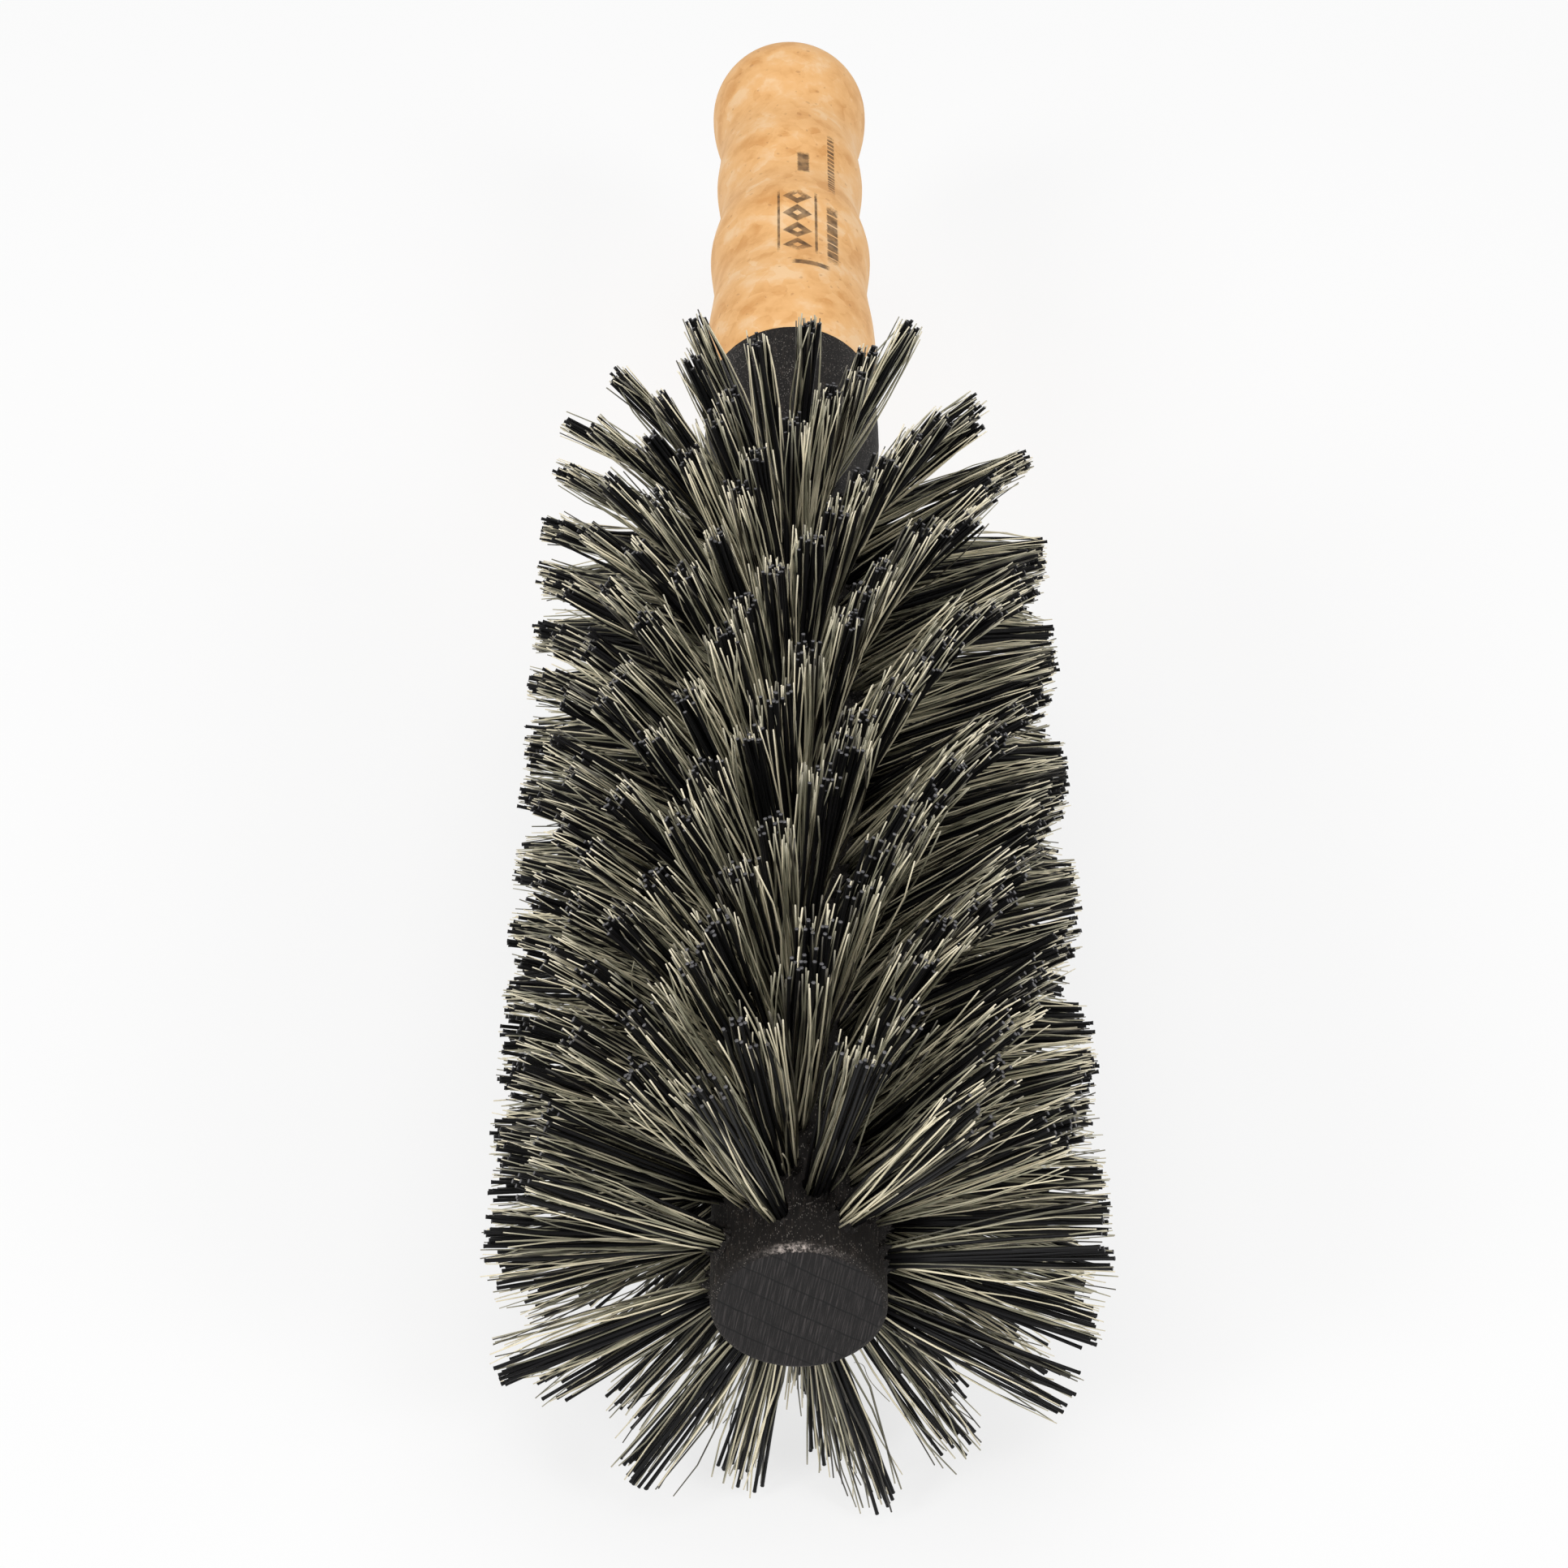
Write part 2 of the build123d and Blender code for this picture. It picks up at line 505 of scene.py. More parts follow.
        # painted highlight: the pale colour is held to the top of the rim, where the overhead light falls
        worn_and_lit = graph.times(graph.remap(up, *self.rim_highlight_top), graph.remap(aside, *self.rim_highlight_aside))
        worn_and_lit = graph.times(worn_and_lit, graph.fibre(self.rim_torn)[1])
        clouds = graph.line(graph.mottle(self.rim_clouds), worn_and_lit, worn_and_lit)
        return graph.math("MULTIPLY", wear, clouds, clamp=True)


@dataclass(frozen=True)
class Patch:
    """A rectangle of ink, in millimetres, broken into dashes if it has a pitch."""

    left: float
    right: float
    start: float
    end: float
    pitch: float = 0.0


@dataclass(frozen=True)
class Stamp:
    """A plain ornament: a column of lozenges, solid bars, and dashed rules beside them.

    Places are in millimetres.
    """

    column: Span = (215.0, 234.5)
    first: float = 215.2
    half_pitch: float = 2.4
    middle: float = 1.1
    slope: float = -0.95
    outer_edge: Span = (0.0, 0.25)
    hollow_edge: Span = (1.75, 1.55)
    patches: tuple[Patch, ...] = (
        Patch(-2.2, -1.7, 215.0, 234.5),
        Patch(3.9, 4.4, 215.0, 234.5),
        Patch(1.1, 3.3, 242.0, 249.0),
        Patch(0.0, 6.4, 210.8, 212.4),
        Patch(6.2, 7.5, 236.0, 257.0, pitch=1.1),
        Patch(5.8, 7.8, 213.5, 232.0, pitch=2.6),
    )
    dash_gap: Span = (0.10, 0.22)
    ragged: float = 0.4
    clouds: Span = (700.0, 2.6)
    fading: Span = (0.4, 0.6)

    def ink(self, graph: Surface) -> Socket:
        """Where the ink lies.

        Args:
            graph: the material's graph.

        Returns:
            The ink's mask.
        """
        across, along, up = graph.split(graph.here)
        ink = graph.times(self._lozenges(graph, across, along), self._band(graph, along, *self.column))
        for patch in self.patches:
            width = self._band(graph, across, patch.left, patch.right)
            shape = graph.times(width, self._band(graph, along, patch.start, patch.end))
            if patch.pitch:
                dash = graph.math("PINGPONG", along, patch.pitch / 2 * MM)
                shape = graph.times(shape, self._edge(graph, dash, self.dash_gap))
            ink = graph.math("ADD", ink, shape, clamp=True)
        ink = graph.times(ink, graph.line(graph.mottle(self.clouds), *self.fading))
        return graph.times(ink, graph.math("GREATER_THAN", up, 0.0))

    def _lozenges(self, graph: Surface, across: Socket, along: Socket) -> Socket:
        """Hollow lozenges in an endless column.

        Args:
            graph: the material's graph.
            across: the place across the brush.
            along: the place along it.

        Returns:
            Their mask.
        """
        offset = graph.math("SUBTRACT", along, self.first * MM)
        step = graph.math("PINGPONG", offset, self.half_pitch * MM)
        aside = graph.math("ABSOLUTE", graph.math("SUBTRACT", across, self.middle * MM))
        level = graph.line(aside, self.slope, step)
        outer = self._edge(graph, level, self.outer_edge)
        return graph.times(outer, self._edge(graph, level, self.hollow_edge))

    def _band(self, graph: Surface, value: Socket, low: float, high: float) -> Socket:
        """Ink where a value lies between two places, both in millimetres."""
        values = (value, (low + high) / 2 * MM, (high - low) / 2 * MM, self.ragged)
        return graph.effect(graph.effects.worn_band, values)[0]

    @staticmethod
    def _edge(graph: Surface, value: Socket, span: Span) -> Socket:
        """A soft edge between two places, both in millimetres."""
        return graph.remap(value, span[0] * MM, span[1] * MM)


@dataclass(frozen=True)
class Cork(Finish):
    """Sanded agglomerated cork with a faint generic stamp along its top."""

    name: str = "sanded_cork"
    pale: Colour = (0.84, 0.56, 0.31)
    base: Colour = (0.80, 0.455, 0.190)
    tan: Colour = (0.66, 0.325, 0.110)
    bark: Colour = (0.36, 0.15, 0.05)
    ink: Colour = (0.050, 0.030, 0.020)
    stamp: Stamp = Stamp()
    warp: Span = (420.0, 3.0)
    warp_reach: float = 1.8 * MM
    granule_scale: float = 390.0
    clouds: Span = (120.0, 3.2)
    blotches: Span = (240.0, 2.6)
    dust: Span = (1500.0, 1.6)
    pits: Span = (620.0, 0.26)
    granule_share: float = 0.24
    cloud_share: float = 0.38
    blotch_share: float = 0.26
    dust_share: float = 0.12
    to_base: Span = (0.15, 0.50)
    to_tan: Span = (0.45, 0.90)
    pit_cover: float = 0.35
    # painted sheen: how far the cork turns paler where its surface turns away from the view
    grazing_sheen_blend: float = 0.35
    grazing_sheen: Ramp = (0.35, 1.0, 0.0, 0.55)
    ink_cover: float = 0.90
    pit_level: Span = (-0.6, 0.6)
    dust_rise: float = 0.35
    granule_rise: float = 0.15
    relief: Span = (0.45, 0.12 * MM)
    dullness: Span = (0.18, 0.66)
    specular: float = 0.25

    def paint(self, graph: Surface) -> None:
        """Feeds colour, roughness and normal from the place on the grip."""
        bent = self._bent(graph)
        granules = graph.add("TexVoronoi", {"Vector": bent, "Scale": self.granule_scale})
        shade = graph.split(granules.outputs["Color"])[1]
        dust, pits = graph.mottle(self.dust), graph.specks(self.pits, bent)
        tone = graph.times(graph.mottle(self.clouds), self.cloud_share)
        tone = graph.line(shade, self.granule_share, tone)
        tone = graph.line(graph.mottle(self.blotches, bent), self.blotch_share, tone)
        tone = graph.line(dust, self.dust_share, tone, clamp=True)
        colour = graph.mix(graph.remap(tone, *self.to_base), self.pale, self.base)
        colour = graph.mix(graph.remap(tone, *self.to_tan), colour, self.tan)
        colour = graph.mix(graph.times(pits, self.pit_cover), colour, self.bark)
        # painted sheen: the colour goes towards the pale cork at grazing angles
        facing = graph.add("LayerWeight", {"Blend": self.grazing_sheen_blend}).outputs["Facing"]
        colour = graph.mix(graph.remap(facing, *self.grazing_sheen), colour, self.pale)
        ink = graph.times(self.stamp.ink(graph), self.ink_cover)
        graph.feed("Base Color", graph.mix(ink, colour, self.ink))
        relief = graph.line(dust, self.dust_rise, graph.line(pits, *self.pit_level))
        graph.bump(graph.line(shade, self.granule_rise, relief), *self.relief)
        graph.feed("Roughness", graph.line(tone, *self.dullness))
        graph.feed("Specular IOR Level", self.specular)

    def _bent(self, graph: Surface) -> Socket:
        """The shaded place, shifted unevenly so that granules get crooked edges.

        Args:
            graph: the material's graph.

        Returns:
            The new coordinate's socket.
        """
        scale, detail = self.warp
        noise = graph.add("TexNoise", {"Vector": graph.here, "Scale": scale, "Detail": detail})
        shift = graph.vector("SUBTRACT", {0: noise.outputs["Color"], 1: (0.5, 0.5, 0.5)})
        shift = graph.vector("SCALE", {0: shift, 3: self.warp_reach})
        return graph.vector("ADD", {0: graph.here, 1: shift})


@dataclass(frozen=True)
class BoarHair(Finish):
    """Boar bristle: horn from olive grey to cream, paler towards the tip."""

    name: str = "boar_hair"
    dark: Colour = (0.032, 0.027, 0.018)
    olive: Colour = (0.285, 0.272, 0.186)
    cream: Colour = (0.90, 0.81, 0.58)
    tip: Colour = (0.88, 0.80, 0.62)
    clouds: Span = (170.0, 2.0)
    cloud_share: float = 0.3
    scales: Span = (5200.0, 1.4)
    to_olive: Span = (0.05, 0.45)
    to_cream: Span = (0.45, 0.95)
    tip_fade: Ramp = (0.93, 1.0, 0.0, 0.8)
    root_fade: Ramp = (0.30, 0.0, 0.0, 0.45)
    relief: Span = (0.25, 0.02 * MM)
    dullness: Span = (0.2, 0.27)
    specular: float = 0.55

    def paint(self, graph: Surface) -> None:
        """Feeds colour, roughness and normal from each strand's own tone."""
        tone, along = graph.mesh_value("strand_tone"), graph.mesh_value("strand_along")
        cloud = graph.mottle(self.clouds)
        shade = graph.line(graph.math("SUBTRACT", cloud, 0.5), self.cloud_share, tone, clamp=True)
        colour = graph.mix(graph.remap(shade, *self.to_olive), self.dark, self.olive)
        colour = graph.mix(graph.remap(shade, *self.to_cream), colour, self.cream)
        colour = graph.mix(graph.times(graph.remap(along, *self.tip_fade), tone), colour, self.tip)
        graph.feed("Base Color", graph.mix(graph.remap(along, *self.root_fade), colour, self.olive))
        graph.bump(graph.fibre(self.scales)[0], *self.relief)
        graph.feed("Roughness", graph.line(cloud, *self.dullness))
        graph.feed("Specular IOR Level", self.specular)


@dataclass(frozen=True)
class NylonFilament(Finish):
    """Black nylon filament with a soft gloss and light scuffs."""

    name: str = "nylon_filament"
    dark: Colour = (0.0035, 0.0035, 0.0038)
    scuffed: Colour = (0.0105, 0.0102, 0.0110)
    clouds: Span = (210.0, 2.0)
    drawing: Span = (4200.0, 1.8)
    relief: Span = (0.15, 0.015 * MM)
    dullness: Span = (0.18, 0.30)
    specular: float = 0.17

    def paint(self, graph: Surface) -> None:
        """Feeds colour, roughness and normal."""
        cloud = graph.mottle(self.clouds)
        scuff = graph.times(graph.math("ADD", graph.mesh_value("strand_tone"), cloud), 0.5)
        graph.feed("Base Color", graph.mix(scuff, self.dark, self.scuffed))
        graph.bump(graph.fibre(self.drawing)[0], *self.relief)
        graph.feed("Roughness", graph.line(cloud, *self.dullness))
        graph.feed("Specular IOR Level", self.specular)


@dataclass(frozen=True)
class CutNylon(Finish):
    """The sheared end of a nylon filament: grey and matt."""

    name: str = "cut_nylon"
    grey: Colour = (0.060, 0.058, 0.062)
    torn: Colour = (0.17, 0.165, 0.17)
    grit: Span = (5200.0, 2.4)
    relief: Span = (0.4, 0.04 * MM)
    dullness: Span = (0.2, 0.5)

    def paint(self, graph: Surface) -> None:
        """Feeds colour, roughness and normal."""
        grit = graph.mottle(self.grit)
        shade = graph.times(graph.math("ADD", grit, graph.mesh_value("strand_tone")), 0.5)
        graph.feed("Base Color", graph.mix(shade, self.grey, self.torn))
        graph.bump(grit, *self.relief)
        graph.feed("Roughness", graph.line(grit, *self.dullness))


@dataclass(frozen=True)
class DrawnWire(Finish):
    """Flat drawn anchor wire, seen only if the brush is cut open."""

    name: str = "drawn_wire"
    bright: Colour = (0.62, 0.61, 0.59)
    dull: Colour = (0.36, 0.35, 0.33)
    drawing: Span = (6000.0, 1.5)
    drawing_stretch: Scales = (1.0, 0.1, 1.0)
    relief: Span = (0.2, 0.02 * MM)
    dullness: Span = (0.3, 0.2)

    def paint(self, graph: Surface) -> None:
        """Feeds colour, roughness and normal."""
        height, mask = graph.fibre(self.drawing, graph.stretch(graph.here, self.drawing_stretch))
        graph.feed("Base Color", graph.mix(mask, self.dull, self.bright))
        graph.feed("Roughness", graph.line(height, *self.dullness))
        graph.bump(height, *self.relief)
        graph.feed("Metallic", 1.0)


@dataclass(frozen=True)
class PalePaper(Finish):
    """The seamless pale floor, a backlit sheet."""

    name: str = "pale_floor"
    white: Colour = (0.20, 0.20, 0.20)
    shade: Colour = (0.19, 0.19, 0.19)
    glow: Colour = (1.0, 1.0, 1.0)
    glow_strength: float = 0.745
    clouds: Span = (6.0, 1.0)
    dullness: Span = (0.1, 0.8)

    def paint(self, graph: Surface) -> None:
        """Feeds colour and roughness, and the light of the table under the sheet."""
        cloud = graph.mottle(self.clouds)
        graph.feed("Emission Color", self.glow)
        graph.feed("Emission Strength", self.glow_strength)
        graph.feed("Base Color", graph.mix(cloud, self.white, self.shade))
        graph.feed("Roughness", graph.line(cloud, *self.dullness))


class Palette:
    """Every material, made once."""

    def __init__(self) -> None:
        """Builds the effects and the materials."""
        effects = Effects()
        self.wood = StainedWood().material(effects)
        self.cork = Cork().material(effects)
        self.boar = BoarHair().material(effects)
        self.nylon = NylonFilament().material(effects)
        self.cut_nylon = CutNylon().material(effects)
        self.wire = DrawnWire().material(effects)
        self.floor = PalePaper().material(effects)


# ---------------------------------------------------------------- meshes


@dataclass(frozen=True)
class Hole:
    """One tuft hole: its angle round the barrel from +X towards +Z, and its place along it."""

    angle: float
    station: float

    def outward(self) -> Array:
        """Unit vector out of the hole."""
        return np.array((math.cos(self.angle), 0.0, math.sin(self.angle)))

    def around(self) -> Array:
        """Unit vector round the barrel."""
        return np.array((-math.sin(self.angle), 0.0, math.cos(self.angle)))


def holes_of(anchor_node: str) -> list[Hole]:
    """Finds a ring's holes from its anchors, which stand well apart round the barrel.

    Args:
        anchor_node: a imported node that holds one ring's anchors.

    Returns:
        The holes, by angle.
    """
    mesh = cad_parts[anchor_node].data
    points = np.empty(len(mesh.vertices) * 3)
    mesh.vertices.foreach_get("co", points)
    points = points.reshape(-1, 3)
    angles = np.arctan2(points[:, 2], points[:, 0])
    order = np.argsort(angles)
    turned, stations = angles[order], points[order, 1]
    gaps = np.diff(turned, append=turned[0] + TURN)
    ends = np.nonzero(gaps > LEAST_GAP)[0] + 1
    turned = np.concatenate((turned, turned[: ends[0]] + TURN))
    stations = np.concatenate((stations, stations[: ends[0]]))
    bounds = [*ends, len(angles) + ends[0]]
    holes = []
    for start, stop in zip(bounds, bounds[1:]):
        wedge, along = turned[start:stop], stations[start:stop]
        holes.append(Hole(float(wedge.min() + wedge.max()) / 2, float(along.min() + along.max()) / 2))
    return holes


def new_object(name: str, mesh: Mesh, materials: Sequence[Material]) -> Object:
    """Links a mesh as a piece that rides on the brush.

    Args:
        name: the piece's name.
        mesh: its mesh.
        materials: its materials, in index order.

    Returns:
        The object.
    """
    for material in materials:
        mesh.materials.append(material)
    made = bpy.data.objects.new(name, mesh)
    bpy.context.scene.collection.objects.link(made)
    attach(made, BODY)
    return made


@dataclass
class Strands:
    """Many strands of one kind, as arrays with one row each, in metres."""

    kind: StrandKind
    root: Array
    tip: Array
    bend: Array
    wave: Array
    tone: Array
    root_radius: Array
    tip_radius: Array
    sides: int
    stations: Sequence[float]
    flare: float = 1.0

    def centres(self) -> Array:
        """Finds points along each strand.

        Returns:
            An array of strand, station and XYZ.
        """
        share = np.asarray(self.stations)[None, :, None]
        straight = self.root[:, None] * (1 - share) + self.tip[:, None] * share
        bow = self.bend[:, None] * 4 * share * (1 - share)
        ripple = self.wave[:, None] * np.sin(TURN * share)
        return straight + bow + ripple

    def points(self) -> Array:
        """Sweeps a round section along each strand.

        Returns:
            The points, one row for each, ring after ring and strand after strand.
        """
        centres = self.centres()
        ahead = self.tip - self.root
        ahead /= np.linalg.norm(ahead, axis=1, keepdims=True)
        helper = np.where(np.abs(ahead[:, 1:2]) < LENGTHWISE_LIMIT, (0.0, 1.0, 0.0), (1.0, 0.0, 0.0))
        first = np.cross(ahead, helper)
        first /= np.linalg.norm(first, axis=1, keepdims=True)
        second = np.cross(ahead, first)
        share = np.asarray(self.stations)
        radius = self.root_radius[:, None] * (1 - share) + self.tip_radius[:, None] * share
        radius[:, -1] *= self.flare
        turn = TURN * np.arange(self.sides)[:, None] / self.sides
        ring = first[:, None] * np.cos(turn) + second[:, None] * np.sin(turn)
        body = centres[:, :, None] + radius[:, :, None, None] * ring[:, None]
        return body.reshape(-1, 3)

    def point_values(self) -> tuple[Array, Array]:
        """Each point's tone, and its share of its strand's length."""
        tone = np.repeat(self.tone, len(self.stations) * self.sides)
        along = np.tile(np.repeat(self.stations, self.sides), len(self.tone))
        return tone, along

    def faces(self) -> tuple[Array, Array, Array]:
        """Walls and both end caps of every strand.

        Returns:
            Corner points of all faces in one row, each face's corner count, and its material index.
        """
        rings, sides, count = len(self.stations), self.sides, len(self.tone)
        walls = []
        for ring in range(rings - 1):
            for side in range(sides):
                here, beside = ring * sides + side, ring * sides + (side + 1) % sides
                walls.append((here, beside, beside + sides, here + sides))
        bottom = tuple(reversed(range(sides)))
        top = tuple(range((rings - 1) * sides, rings * sides))
        pattern = [*walls, bottom, top]
        kinds = [self.kind.value] * len(pattern)
        if self.kind is StrandKind.NYLON:
            kinds[-1] = StrandKind.CUT_END.value
        corners = np.array([corner for face in pattern for corner in face])
        corners = corners + rings * sides * np.arange(count)[:, None]
        return corners.ravel(), np.tile([len(face) for face in pattern], count), np.tile(kinds, count)


def strand_mesh(name: str, groups: Sequence[Strands]) -> Mesh:
    """Joins strands into one mesh, with each strand's tone and length stored on its points.

    Args:
        name: the mesh's name.
        groups: the strands.

    Returns:
        The mesh.
    """
    points = [group.points() for group in groups]
    faces = [group.faces() for group in groups]
    values = [group.point_values() for group in groups]
    starts = np.cumsum([0] + [len(block) for block in points[:-1]])
    corners = np.concatenate([face[0] + start for face, start in zip(faces, starts)])
    sizes = np.concatenate([face[1] for face in faces])
    indices = np.concatenate([face[2] for face in faces])
    mesh = bpy.data.meshes.new(name)
    mesh.vertices.add(sum(map(len, points)))
    mesh.vertices.foreach_set("co", np.concatenate(points).ravel())
    mesh.loops.add(len(corners))
    mesh.loops.foreach_set("vertex_index", corners)
    mesh.polygons.add(len(sizes))
    mesh.polygons.foreach_set("loop_start", np.cumsum(sizes) - sizes)
    mesh.polygons.foreach_set("material_index", indices)
    mesh.update(calc_edges=True)
    for number, label in enumerate(("strand_tone", "strand_along")):
        stored = mesh.attributes.new(label, "FLOAT", "POINT")
        stored.data.foreach_set("value", np.concatenate([value[number] for value in values]))
    return mesh


# ---------------------------------------------------------------- sub-assemblies


@dataclass
class Tufts:
    """The bristles of every ring: boar and nylon mixed in each tuft."""

    palette: Palette
    barrel_radius: float = 10.5 * MM
    trim_radius: float = 37.85 * MM
    hole_radius: float = 1.3 * MM
    root_depth: float = 1.5 * MM
    boar_count: int = 27
    nylon_count: int = 13
    mixing: float = 0.8
    broken_share: float = 0.08
    boar_radius: float = 0.158 * MM
    nylon_radius: float = 0.24 * MM
    boar_spread: float = 3.1 * MM
    nylon_spread: float = 2.25 * MM
    back_spread: float = 0.60
    front_spread: float = 1.38
    front_reach: float = 38 * MM
    front_lean: float = 4.6 * MM
    lean_reach: float = 22 * MM
    back_lean: float = 3.4 * MM
    back_reach: float = 110 * MM
    worn_side: float = 0.5
    worn_top: float = 0.55
    tuft_wander: float = 1.1 * MM
    back_wander: float = 0.6 * MM
    front_room: float = 0.3 * MM
    nylon_scatter: float = 0.4 * MM
    nylon_short: float = 1.0 * MM
    nylon_uneven: float = 0.55 * MM
    nylon_bend: float = 0.25 * MM
    nylon_flare: float = 1.14
    nylon_sides: int = 6
    nylon_stations: tuple[float, ...] = (0, 0.35, 0.7, 0.990, 1.0)
    boar_opening: Span = (0.8, 1.25)
    boar_scatter: float = 0.5 * MM
    boar_short: Span = (1.2, 1.0 * MM)
    boar_least: float = 27 * MM
    boar_thickness: Span = (0.8, 1.15)
    boar_bend: float = 0.6 * MM
    boar_wave: float = 0.28 * MM
    boar_tones: Span = (0.95, 0.95)
    # tone scale of the hairs, and a painted lightening of the tufts near the tip for the brighter light
    # there
    boar_tone_and_front_light: Span = (0.95, 0.05)
    boar_taper: float = 0.62
    boar_sides: int = 4
    boar_stations: tuple[float, ...] = (0, 0.2, 0.4, 0.6, 0.8, 1.0)
    broken_mm: Span = (13.0, 30.0)
    rings: list[str] = field(init=False)
    first_station: float = field(init=False)
    last_station: float = field(init=False)

    def __post_init__(self) -> None:
        """Reads where the first and the last ring stand."""
        self.rings = sorted(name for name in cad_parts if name.startswith("tuft_ring_"))
        self.first_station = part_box(self.rings[0].replace("tuft", "anchor"))[0][1]
        self.last_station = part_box(self.rings[-1].replace("tuft", "anchor"))[1][1]

    def build(self) -> list[Object]:
        """Builds one piece for each ring, which stands for that ring's plain tufts.

        Returns:
            The pieces.
        """
        made = []
        for number, node in enumerate(self.rings):
            rng = np.random.default_rng(SEED + number)
            groups = []
            for hole in holes_of(node.replace("tuft", "anchor")):
                groups += self._tuft(hole, rng)
            mesh = strand_mesh(node + "_bristles", groups)
            materials = (self.palette.boar, self.palette.nylon, self.palette.cut_nylon)
            piece = new_object(node + "_bristles", mesh, materials)
            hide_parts(node)
            made.append(piece)
        return made

    def _front(self, hole: Hole, reach: float) -> float:
        """How near a hole is to the first ring: 1 there, 0 from a reach away on."""
        return max(0.0, 1 - (hole.station - self.first_station) / reach)

    def _back(self, hole: Hole, reach: float) -> float:
        """How near a hole is to the last ring: 1 there, 0 from a reach away on."""
        return max(0.0, 1 - (self.last_station - hole.station) / reach)

    def _opening(self, hole: Hole) -> float:
        """How far a tuft opens at the trim: most at the tip, least next to the grip."""
        opened = 1 + (self.front_spread - 1) * self._front(hole, self.front_reach)
        return opened + (self.back_spread - 1) * self._back(hole, self.back_reach)

    def _lean(self, hole: Hole) -> float:
        """How far a tuft leans along the brush at the trim. Use has bent one side more.

        Args:
            hole: the tuft's hole.

        Returns:
            The lean, towards the grip if it is above 0.
        """
        bent = 1 - self.worn_side * math.cos(hole.angle) + self.worn_top * max(0.0, math.sin(hole.angle))
        pulled = self.back_lean * bent * self._back(hole, self.back_reach)
        return pulled - self.front_lean * self._front(hole, self.lean_reach)

    def _tuft(self, hole: Hole, rng: Rng) -> list[Strands]:
        """Bristles of one tuft.

        Args:
            hole: the hole that they stand in.
            rng: the ring's random numbers.

        Returns:
            Its nylon and its boar strands.
        """
        count = self.boar_count + self.nylon_count
        swirl = GOLDEN_ANGLE * np.arange(count) + rng.uniform(0, TURN)
        reach = np.sqrt((np.arange(count) + 0.5) / count)
        disc = np.stack((reach * np.cos(swirl), reach * np.sin(swirl)), axis=1)
        side = rng.uniform(0, TURN)
        score = disc @ (math.cos(side), math.sin(side)) + rng.normal(0, self.mixing, count)
        order = np.argsort(score)
        wander = rng.normal(0, self.tuft_wander + self.back_wander * self._back(hole, self.lean_reach), 2)
        wander = wander + (0.0, self._lean(hole))
        nylon, boar = disc[order[: self.nylon_count]], disc[order[self.nylon_count :]]
        return [self._nylon(hole, nylon, wander, rng), self._boar(hole, boar, wander, rng)]

    def _ends(self, hole: Hole, disc: Array, offset: Array, trim: Array) -> tuple[Array, Array]:
        """Roots in the hole and tips on the trim.

        Args:
            hole: the tuft's hole.
            disc: place of each strand in the hole, on a unit disc.
            offset: where each tip stands round and along the brush.
            trim: distance of each tip from the brush's axis.

        Returns:
            Roots and tips.
        """
        outward, around = hole.outward(), hole.around()
        lengthwise = np.array((0.0, 1.0, 0.0))
        middle = lengthwise * hole.station
        depth = self.barrel_radius - self.root_depth
        root = middle + outward * depth
        root = root + self.hole_radius * (disc[:, :1] * around + disc[:, 1:] * lengthwise)
        height = np.sqrt(np.maximum(trim**2 - offset[:, 0] ** 2, 0))
        tip = middle + height[:, None] * outward + offset[:, :1] * around + offset[:, 1:] * lengthwise
        tip[:, 1] = np.maximum(tip[:, 1], CAD_BOX[0][1] + self.front_room)
        return root, tip

    def _nylon(self, hole: Hole, disc: Array, wander: Array, rng: Rng) -> Strands:
        """Straight stiff filaments, sheared just below the boar.

        Args:
            hole: the tuft's hole.
            disc: place of each filament in the hole.
            wander: the tuft's own lean.
            rng: the ring's random numbers.

        Returns:
            The filaments.
        """
        count = len(disc)
        spread = self.nylon_spread * self._opening(hole)
        offset = disc * spread + wander + rng.normal(0, self.nylon_scatter, (count, 2))
        trim = self.trim_radius - self.nylon_short + rng.normal(0, self.nylon_uneven, count)
        root, tip = self._ends(hole, disc, offset, np.minimum(trim, self.trim_radius))
        return Strands(
            kind=StrandKind.NYLON,
            root=root,
            tip=tip,
            bend=rng.normal(0, self.nylon_bend, (count, 3)),
            wave=np.zeros((count, 3)),
            tone=rng.uniform(0, 1, count),
            root_radius=np.full(count, self.nylon_radius),
            tip_radius=np.full(count, self.nylon_radius),
            sides=self.nylon_sides,
            stations=self.nylon_stations,
            flare=self.nylon_flare,
        )

    def _boar(self, hole: Hole, disc: Array, wander: Array, rng: Rng) -> Strands:
        """Thin tapering hairs that wave a little and end raggedly.

        Args:
            hole: the tuft's hole.
            disc: place of each hair in the hole.
            wander: the tuft's own lean.
            rng: the ring's random numbers.

        Returns:
            The hairs.
        """
        count = len(disc)
        least_tone, front_painted_light = self.boar_tone_and_front_light
        opened = rng.uniform(*self.boar_opening) * self._opening(hole)
        stray = rng.normal(0, self.boar_scatter * opened, (count, 2))
        offset = disc * self.boar_spread * opened + wander + stray
        trim = self.trim_radius - rng.gamma(*self.boar_short, count)
        broken = rng.random(count) < self.broken_share
        snapped = rng.uniform(*self.broken_mm, count) * MM
        trim = np.where(broken, snapped, np.maximum(trim, self.boar_least))
        share = (trim / self.trim_radius)[:, None]
        root, tip = self._ends(hole, disc, offset * share, trim)
        radius = self.boar_radius * rng.uniform(*self.boar_thickness, count)
